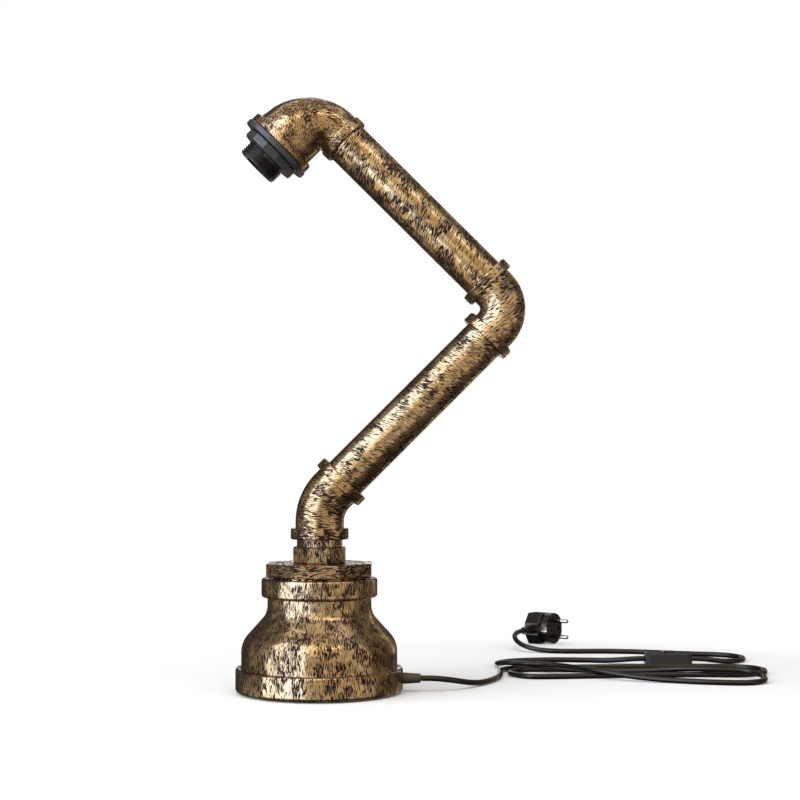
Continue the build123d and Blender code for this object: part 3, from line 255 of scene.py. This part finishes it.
def round_bend(centre, radius, lean):
    """Marks that follow a bend from one mouth to the other, leaning across it."""
    def place(paint, point):
        origin = centre / MM
        out = paint.along(point, Vector((1, 0, 0)), origin)
        rise = paint.along(point, UP, origin)
        depth = paint.along(point, FORTH, origin)
        length = rise.turn(out) * (radius / MM)
        across = paint.reach(out, rise)
        return paint.vector(length / MARK_LENGTH, (across + length * lean) / MARK_WIDTH, depth / MARK_WIDTH)
    return place


# ================================================================ other finishes
SCRATCH_SIZE = 0.12     # millimetres


def moulded(name, colour, roughness, grain, depth, mottle=0.25, coat=0.0):
    """Plastic, rubber, porcelain or black plate: even colour, fine grain and slight handling marks."""
    paint = finish(name, Coat_Weight=coat, Coat_Roughness=0.08)
    place = paint.point()
    cloud = paint.noise(place, 14, detail=3, rough=0.6)
    fine = paint.noise(place, grain, detail=2)
    darker = tuple(channel * (1 - mottle) for channel in colour)
    lighter = tuple(channel * (1 + mottle) for channel in colour)
    rub = paint.step(paint.noise(place, 5, detail=4, rough=0.65), 0.55, 0.75)
    return paint.dress(Base_Color=paint.blend(cloud, darker, lighter),
                       Roughness=roughness + rub * 0.07 + (fine - 0.5) * 0.10,
                       Normal=paint.bump(fine, depth, 0.5))


def turned_metal(name, colour, roughness, way):
    """Bright metal with fine marks across the given way."""
    paint = finish(name, Metallic=1.0)
    place = paint.point()
    length = paint.along(place, way)
    lines = paint.noise(paint.vector(length, 0, 0), SCRATCH_SIZE, detail=2, rough=0.7)
    stain = paint.step(paint.noise(place, 4, detail=3), 0.45, 0.75)
    dull = tuple(channel * 0.62 for channel in colour)
    return paint.dress(Base_Color=paint.blend(stain * 0.6, colour, dull),
                       Roughness=roughness + lines * 0.12 + stain * 0.14,
                       Normal=paint.bump(lines, 0.02, 0.35))


base_paint = aged_brass("aged_brass_base", round_upright(0.07))
nipple_paint = aged_brass("aged_brass_nipple", round_upright(0.025), cover=0.012)
bushing_paint = aged_brass("aged_brass_bushing", round_bar(knee, UP, 0.12), cover=0.012)
knee_paint = aged_brass("aged_brass_knee", round_bar(knee, UP, -0.12), cover=0.01)
lower_paint = aged_brass("aged_brass_lower_pipe", round_bar(knee, lower_way, 0.45))
middle_paint = aged_brass("aged_brass_middle", round_bar(middle, UP, 0.5), cover=0.01)
upper_paint = aged_brass("aged_brass_upper_pipe", round_bar(middle, upper_way, 0.45))
head_paint = aged_brass("aged_brass_head", round_bend(corner + (head_way - upper_way) * 0.03, 0.045, 0.35))

black_plate = moulded("black_plate", (0.022, 0.022, 0.024), 0.5, 0.5, 0.05)
zinc = turned_metal("zinc_plate", (0.62, 0.62, 0.64), 0.3, UP)
foam = moulded("foam_rubber", (0.018, 0.018, 0.018), 0.85, 0.6, 0.25, mottle=0.35)
bush_rubber = moulded("bush_rubber", (0.045, 0.038, 0.026), 0.42, 0.5, 0.04)
natural_plastic = moulded("natural_plastic", (0.62, 0.61, 0.56), 0.4, 0.6, 0.03, mottle=0.06)
cord_vinyl = moulded("cord_vinyl", (0.0035, 0.0035, 0.004), 0.22, 0.7, 0.03, mottle=0.3)
brown_lead = moulded("brown_lead", (0.13, 0.05, 0.022), 0.4, 0.5, 0.02)
blue_lead = moulded("blue_lead", (0.03, 0.12, 0.42), 0.4, 0.5, 0.02)
green_lead = moulded("green_lead", (0.19, 0.40, 0.05), 0.4, 0.5, 0.02)
bright_brass = turned_metal("bright_brass", (0.78, 0.57, 0.25), 0.22, head_way)
nickel = turned_metal("nickel", (0.74, 0.73, 0.70), 0.16, Vector((0.8, -0.6, 0)))
holder_plastic = moulded("holder_plastic", (0.026, 0.030, 0.038), 0.30, 0.35, 0.05, coat=0.3)
# Painted shade: the threads get a much darker copy of the holder plastic, standing in for the shade they lie in.
shaded_holder_plastic = moulded("shaded_holder_plastic", (0.006, 0.0065, 0.008), 0.26, 0.35, 0.03, coat=0.3)
porcelain = moulded("porcelain", (0.80, 0.79, 0.75), 0.16, 1.2, 0.03, mottle=0.04, coat=0.5)
switch_plastic = moulded("switch_plastic", (0.022, 0.022, 0.025), 0.42, 0.3, 0.06)
rocker_plastic = moulded("rocker_plastic", (0.006, 0.006, 0.007), 0.18, 0.8, 0.02, coat=0.4)
plug_vinyl = moulded("plug_vinyl", (0.004, 0.004, 0.0048), 0.22, 0.9, 0.03, coat=0.2)

finishes = {
    base_paint: ["base_bell"],
    bushing_paint: ["bushing"],
    nipple_paint: ["nipple"],
    knee_paint: ["elbow_45"],
    lower_paint: ["lower_pipe"],
    middle_paint: ["elbow_90"],
    upper_paint: ["upper_pipe"],
    head_paint: ["head_elbow"],
    black_plate: ["base_plate"],
    zinc: ["plate_screws", "clamp_screws", "terminal_screws", "earth_screw", "switch_screws", "rocker_pin"],
    foam: ["base_pad"],
    bush_rubber: ["cord_bush"],
    natural_plastic: ["clamp_base", "clamp_bar", "terminal_block"],
    cord_vinyl: ["mains_cord", "cord_entry", "cord_coil", "cord_switch_lead", "cord_plug_lead",
                 "lamp_cable_base", "lamp_cable_lower", "lamp_cable_upper", "lamp_cable_head"],
    brown_lead: ["mains_lead_live", "lamp_lead_live", "holder_lead_live", "switch_cores"],
    blue_lead: ["mains_lead_neutral", "lamp_lead_neutral", "holder_lead_neutral"],
    green_lead: ["mains_lead_earth"],
    bright_brass: ["terminal_sleeves", "earth_tag", "screw_shell", "centre_contact", "side_contact",
                   "holder_terminals", "switch_terminals"],
    nickel: ["plug_pins", "earth_clips"],
    holder_plastic: ["head_flange", "holder_skirt", "shade_ring", "holder_cap"],
    porcelain: ["holder_insert"],
    switch_plastic: ["switch_base", "switch_cover"],
    rocker_plastic: ["switch_rocker"],
    plug_vinyl: ["plug_body", "plug_relief", "pin_sleeves"],
}
for material, names in finishes.items():
    for name in names:
        for held in nodes[name].material_slots:
            held.material = material


# ================================================================ threaded pieces of the lamp holder
# Stations lie along the head from its corner, and all sizes are in millimetres.
SHOULDER_BACK, MOUTH = 45.85, 49.85
LEDGE = 53.7            # where the insert and the screw shell rest
CUP_RADIUS, CUP_DEPTH = 23.8, 9
SHOULDER_RADIUS, NECK_RADIUS, INSERT_HOLE = 25.4, 21.3, 19.45
SKIRT_START, SKIRT_END = 64.8, 79.0
SKIRT_CREST, SKIRT_ROOT, SKIRT_PITCH = 21.55, 20.3, 2.6
SHELL_BORE, SHELL_WALL, SHELL_END = 13.4, 0.6, 75.7
SHELL_OUTSIDE = SHELL_BORE + SHELL_WALL
SHELL_EYE = 7.4         # hole in the shell's floor
SHELL_LIP = 0.2         # rounding of the shell's open edge
SHELL_PITCH = 3.63
PLAY = 0.05
SINK = 0.1              # how deep a ridge's root is set into its wall
TURN_STEPS, THREAD_STEPS = 96, 72       # steps in a full turn


def turned(mesh, outline):
    """Add a closed body turned about Z from its outline of radius and height."""
    rim = [mesh.verts.new((radius, 0, height)) for radius, height in outline]
    edges = [mesh.edges.new((first, second)) for first, second in zip(rim, rim[1:] + rim[:1])]
    bmesh.ops.spin(mesh, geom=rim + edges, cent=(0, 0, 0), axis=(0, 0, 1), angle=tau, steps=TURN_STEPS,
                   use_merge=True)


def thread(mesh, root, crest, pitch, start, turns, half_flat):
    """Add a closed helical ridge; its crest may lie inside or outside its root."""
    half_root = pitch * 0.49
    corners = [(root, start - half_root), (crest, start - half_flat),
               (crest, start + half_flat), (root, start + half_root)]
    section = mesh.faces.new([mesh.verts.new((radius, 0, height)) for radius, height in corners])
    count = round(THREAD_STEPS * turns)
    bmesh.ops.spin(mesh, geom=[section], cent=(0, 0, 0), axis=(0, 0, 1), angle=tau * turns, steps=count,
                   dvec=(0, 0, pitch * turns / count))


def head_piece(name, mesh, material, slot, *stands_for):
    """Bring a body made about Z, in millimetres, to the head's axis, and hand it over."""
    bmesh.ops.recalc_face_normals(mesh, faces=mesh.faces)
    lie = head_way.to_track_quat("Z", "Y").to_matrix().to_4x4()
    bmesh.ops.transform(mesh, matrix=Matrix.Translation(corner) @ lie @ Matrix.Scale(MM, 4), verts=mesh.verts)
    data = bpy.data.meshes.new(name)
    mesh.to_mesh(data)
    mesh.free()
    data.materials.append(material)
    piece = bpy.data.objects.new(name, data)
    scene.collection.objects.link(piece)
    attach(piece, "head")
    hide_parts(*stands_for)


skirt = bmesh.new()
turned(skirt, [
    (INSERT_HOLE, SHOULDER_BACK - CUP_DEPTH), (CUP_RADIUS, SHOULDER_BACK - CUP_DEPTH),
    (CUP_RADIUS, SHOULDER_BACK), (SHOULDER_RADIUS, SHOULDER_BACK),
    (SHOULDER_RADIUS, MOUTH), (NECK_RADIUS, MOUTH),
    (NECK_RADIUS, SKIRT_START), (SKIRT_ROOT, SKIRT_START + 0.3),
    (SKIRT_ROOT, SKIRT_END - 0.5), (SKIRT_ROOT - 0.4, SKIRT_END),
    (SHELL_OUTSIDE + 0.6, SKIRT_END), (SHELL_OUTSIDE + PLAY, SKIRT_END - 0.6),
    (SHELL_OUTSIDE + PLAY, LEDGE), (INSERT_HOLE, LEDGE),
])
thread(skirt, SKIRT_ROOT - SINK, SKIRT_CREST, SKIRT_PITCH, SKIRT_START + SKIRT_PITCH / 2,
       (SKIRT_END - SKIRT_START) / SKIRT_PITCH - 1.05, half_flat=0.16)
# The threads take the darker copy of the holder plastic, which paints their shade into the colour.
head_piece("threaded_skirt", skirt, shaded_holder_plastic, "holder_plastic", "holder_skirt")

shell = bmesh.new()
turned(shell, [
    (SHELL_EYE, LEDGE), (11.6, LEDGE), (13.3, LEDGE + 0.7), (SHELL_OUTSIDE, LEDGE + 2.4),
    (SHELL_OUTSIDE, SHELL_END - SHELL_LIP), (13.85, SHELL_END), (13.55, SHELL_END),
    (SHELL_BORE, SHELL_END - SHELL_LIP), (SHELL_BORE, LEDGE + 2.9),
    (12.9, LEDGE + 1.5), (11.4, LEDGE + SHELL_WALL), (SHELL_EYE, LEDGE + SHELL_WALL),
])
thread(shell, SHELL_BORE + SINK, SHELL_BORE - 0.75, SHELL_PITCH, LEDGE + 5.2,
       (SHELL_END - LEDGE - 7) / SHELL_PITCH, half_flat=0.55)
head_piece("threaded_shell", shell, bright_brass, "contact_brass", "screw_shell")


# ================================================================ cords
CORD_RADIUS = 2.8       # millimetres
LIFT = 3 * CORD_RADIUS + 0.2    # height of the cord's middle where it passes over itself
BUSH_HEIGHT = 12.6
SWITCH_HEIGHT = 6.2
PLUG_HEIGHT = 18.5
CURVE_STEPS, ROUND_STEPS = 8, 4


def laid(*points):
    """Points of a route; one without a height of its own lies on the floor."""
    return [point if len(point) == 3 else (*point, CORD_RADIUS) for point in points]


def turn_end(centre, radius, first, last, heights):
    """Points round one end of a loop of the coil, between two angles in degrees."""
    points = []
    for index, height in enumerate(heights):
        angle = radians(first + (last - first) * index / (len(heights) - 1))
        points.append((centre[0] + radius * cos(angle), centre[1] + radius * sin(angle), height))
    return points


flat = [CORD_RADIUS]
entry_route = laid(
    (96.8, 0, BUSH_HEIGHT), (108, 0, BUSH_HEIGHT), (121.5, 3.5, 11), (134, 11.5, 8.2), (145, 23, 5.2),
    (155, 36.5, 3.3), (164, 51.5), (171.5, 67.5), (176.5, 84), (179.3, 101), (180, 118),
)
coil_turns = (
    turn_end((216, 121), 36.5, 172, 98, flat * 4)
    + laid((262, 159.5), (310, 162.5), (362, 164), (400, 164.5))
    + turn_end((424, 132), 32.5, 88, -88, flat * 7)
    + laid((396, 100.5), (352, 99), (304, 95), (258, 88.5))
    + turn_end((219, 113), 29.5, 262, 98, flat * 7)
    + laid((250, 139), (292, 129.5), (330, 117, 4.4), (358, 107, 7.4), (380, 100, LIFT), (398, 95, LIFT))
    + turn_end((413, 67.5), 28.5, 66, -92, [8, 6.6, 5, 3.8, 3] + flat * 2)
    + laid((386, 43), (356, 53), (326, 64, 3.4), (298, 76.5, 5.6), (276, 90, LIFT),
           (259, 106, LIFT + 0.2), (245, 123, LIFT + 0.2))
)
switch_route = laid(
    (225, 138.5, LIFT), (207.7, 141.3, LIFT), (190.6, 151.1, LIFT), (180.8, 168.2, 5.4), (180.8, 187.8, 3.4),
    (190.6, 204.9), (207.7, 214.7), (227, 219.4), (247, 221.2), (268, 220.4), (287, 217.4),
    (305, 212.2, 3.2), (320, 206.6, 4.8), (334, 204, SWITCH_HEIGHT), (347, 204, SWITCH_HEIGHT),
)
plug_route = laid(
    (389, 204, SWITCH_HEIGHT), (402, 204, SWITCH_HEIGHT), (416.5, 203.2, 4.6), (432.5, 205.1),
    (447.3, 213.7), (455.9, 228.5), (455.9, 245.5), (447.3, 260.3), (432.5, 268.9), (415.5, 272.9),
    (398, 277.6), (380, 284.2), (361, 291), (341, 296.4), (320, 299.6), (298.5, 300.2), (275, 298.6),
    (252.5, 301.2), (232, 308.5, 3.8), (216.4, 322.5, 8), (210.7, 341.1, 13.8),
    (214.1, 358.8, PLUG_HEIGHT), (224.3, 372.4, PLUG_HEIGHT),
)


def cord(name, route):
    """One smooth round cord along its route, in millimetres."""
    curve = bpy.data.curves.new(name, "CURVE")
    curve.dimensions = "3D"
    curve.resolution_u = curve.render_resolution_u = CURVE_STEPS
    curve.bevel_depth = CORD_RADIUS * MM
    curve.bevel_resolution = ROUND_STEPS
    curve.use_fill_caps = True
    spline = curve.splines.new("NURBS")
    spline.points.add(len(route) - 1)
    for point, place in zip(spline.points, route):
        point.co = (*(Vector(place) * MM), 1)
    spline.order_u = 3
    spline.use_endpoint_u = True
    curve.materials.append(cord_vinyl)
    piece = bpy.data.objects.new(name, curve)
    scene.collection.objects.link(piece)
    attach(piece, "base")
    return piece


supply_cord = cord("supply_cord", entry_route + coil_turns + switch_route)
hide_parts("cord_entry", "cord_coil", "cord_switch_lead")
plug_cord = cord("plug_cord", plug_route)
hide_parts("cord_plug_lead")

# ================================================================ studio
camera = bpy.data.objects.new("camera", bpy.data.cameras.new("camera"))
camera.location = (0.077, -1.4995, 0.2155)
camera.rotation_euler = (radians(92.404), 0, 0)
camera.data.lens = 70.2
camera.data.sensor_width = 36
scene.collection.objects.link(camera)
scene.camera = camera
scene.view_settings.view_transform = "Standard"

AIM = (0.08, 0.0, 0.25)         # metres, near the middle of the lamp


def area_light(name, azimuth, height, distance, size, power, colour):
    """Rectangular soft light; azimuth 0 is the camera's side, and positive is to the right."""
    light = bpy.data.lights.new(name, "AREA")
    light.shape = "RECTANGLE"
    light.size, light.size_y = size
    light.energy = power
    light.color = colour
    lamp = bpy.data.objects.new(name, light)
    turn = radians(azimuth)
    lamp.location = Vector((sin(turn) * distance, -cos(turn) * distance, height))
    lamp.rotation_euler = (Vector(AIM) - lamp.location).to_track_quat("-Z", "Y").to_euler()
    lamp.visible_glossy = False
    scene.collection.objects.link(lamp)


area_light("key_light", -60, 0.7, 1.9, (2.2, 1.8), 44, (0.93, 0.98, 1.0))
area_light("fill_light", 50, 0.9, 2.4, (1.0, 1.0), 12, (1.0, 0.88, 0.74))
area_light("top_light", 10, 2.3, 0.5, (1.7, 1.7), 22, (1, 1, 1))

# Cards stand round the lamp, but for a narrow gap behind it, and only reflections show them. They hide the
# white backdrop from the metal, and some shine brighter than white. The lights and the floor are kept out
# of reflections as well.
CARD_REACH = 2.6        # metres
CARD_FOOT, CARD_TOP = -2.0, 4.0
CARD_STEPS = 24


def emitter(name, colour):
    """Plain surface that shines in one colour."""
    paint = Paint(bpy.data.materials.new(name))
    paint.tree.nodes.remove(paint.shader)
    glow = paint.node("Emission", sockets={"Color": (*colour, 1)})
    paint.feed(paint.tree.nodes["Material Output"].inputs["Surface"], glow)
    return paint.owner


def hang(name, mesh, colour):
    """Put up a card that only reflections show."""
    data = bpy.data.meshes.new(name)
    mesh.to_mesh(data)
    data.materials.append(emitter(name, colour))
    card = bpy.data.objects.new(name, data)
    card.visible_camera = card.visible_diffuse = card.visible_shadow = card.visible_transmission = False
    scene.collection.objects.link(card)


def level_card(name, height, colour):
    """Round card that closes the studio above or below."""
    mesh = bmesh.new()
    bmesh.ops.create_circle(mesh, cap_ends=True, segments=48, radius=CARD_REACH)
    bmesh.ops.translate(mesh, vec=(0, 0, height), verts=mesh.verts)
    hang(name, mesh, colour)


def curved_card(name, first, last, low, high, colour):
    """Card bent round the lamp, from one azimuth in degrees and one height in metres to another."""
    mesh = bmesh.new()
    turn = radians(first)
    foot = mesh.verts.new((sin(turn) * CARD_REACH, -cos(turn) * CARD_REACH, low))
    head = mesh.verts.new((sin(turn) * CARD_REACH, -cos(turn) * CARD_REACH, high))
    edge = mesh.edges.new((foot, head))
    bmesh.ops.spin(mesh, geom=[edge, foot, head], cent=(0, 0, 0), axis=(0, 0, 1), angle=radians(last - first),
                   steps=CARD_STEPS)
    hang(name, mesh, colour)


level_card("ceiling", CARD_TOP, (0.92, 0.78, 0.62))
level_card("ground", CARD_FOOT, (0.06, 0.05, 0.04))
curved_card("softbox", -18, -80, -0.55, CARD_TOP, (2.6, 2.72, 2.95))
curved_card("left_low", -18, -80, CARD_FOOT, -0.55, (1.05, 0.84, 0.57))
curved_card("left_wall", -80, -125, CARD_FOOT, CARD_TOP, (0.30, 0.25, 0.19))
curved_card("left_flag", -125, -172, CARD_FOOT, CARD_TOP, (0.07, 0.06, 0.05))
curved_card("front_gap", -18, 5, -1.6, 0.55, (0.62, 0.51, 0.37))
curved_card("warm_strip", -18, 7, 0.55, 2.3, (1.60, 1.32, 0.88))
curved_card("front_top", -18, 48, 2.3, CARD_TOP, (2.5, 2.1, 1.4))
curved_card("warm_wall", 5, 82, -1.4, 2.3, (0.72, 0.58, 0.42))
curved_card("right_low", -18, 140, CARD_FOOT, -1.4, (0.09, 0.075, 0.058))
curved_card("right_flag", 82, 140, -1.4, CARD_TOP, (0.19, 0.145, 0.10))
curved_card("rim_strip", 140, 150, CARD_FOOT, CARD_TOP, (0.9, 0.70, 0.48))
curved_card("back_flag", 150, 172, CARD_FOOT, CARD_TOP, (0.08, 0.07, 0.055))

world = Paint(bpy.data.worlds.new("studio"))
scene.world = world.owner
camera_ray = world.node("LightPath", out="Is Camera Ray")
ray_kinds = camera_ray.socket.node.outputs
seen = camera_ray + Wire(world, ray_kinds["Is Glossy Ray"]) + Wire(world, ray_kinds["Is Transmission Ray"])
backdrop = world.tree.nodes["Background"]
world.feed(backdrop.inputs["Color"], (1, 1, 1, 1))
world.feed(backdrop.inputs["Strength"], 0.45 + 0.55 * seen.at_most(1))

FLOOR_REACH = 3.0       # metres
SHADOW_MIDDLE = (0.19, 0.16, 0)
SHADOW_STRETCH = (1, 1.3, 1)
CLEAR_FROM, CLEAR_TO = 0.31, 0.45       # distances between which the floor blends into the white backdrop
floor_mesh = bmesh.new()
bmesh.ops.create_circle(floor_mesh, cap_ends=True, segments=96, radius=FLOOR_REACH)
floor_data = bpy.data.meshes.new("floor")
floor_mesh.to_mesh(floor_data)
floor = bpy.data.objects.new("floor", floor_data)
scene.collection.objects.link(floor)
floor_paint = finish("floor_paint", Roughness=0.7, Specular_IOR_Level=0.1)
looked_at = floor_paint.node("LightPath", out="Is Camera Ray")
floor_point = floor_paint.node("TexCoord", out="Object")
away = floor_paint.node("VectorMath", {"operation": "DISTANCE"},
                        {0: floor_paint.stretch(floor_point, SHADOW_STRETCH), 1: SHADOW_MIDDLE}, "Value")
clear = floor_paint.step(away, CLEAR_FROM, CLEAR_TO) * looked_at
floor_paint.dress(Base_Color=floor_paint.blend(looked_at, (0.55, 0.55, 0.55), (1, 1, 1)))
floor.visible_glossy = False
white = floor_paint.node("Emission", sockets={"Color": (1, 1, 1, 1)})
surface = Wire(floor_paint, floor_paint.shader.outputs["BSDF"])
cleared = floor_paint.node("MixShader", sockets={0: clear, 1: surface, 2: white})
floor_paint.feed(floor_paint.tree.nodes["Material Output"].inputs["Surface"], cleared)
floor_data.materials.append(floor_paint.owner)
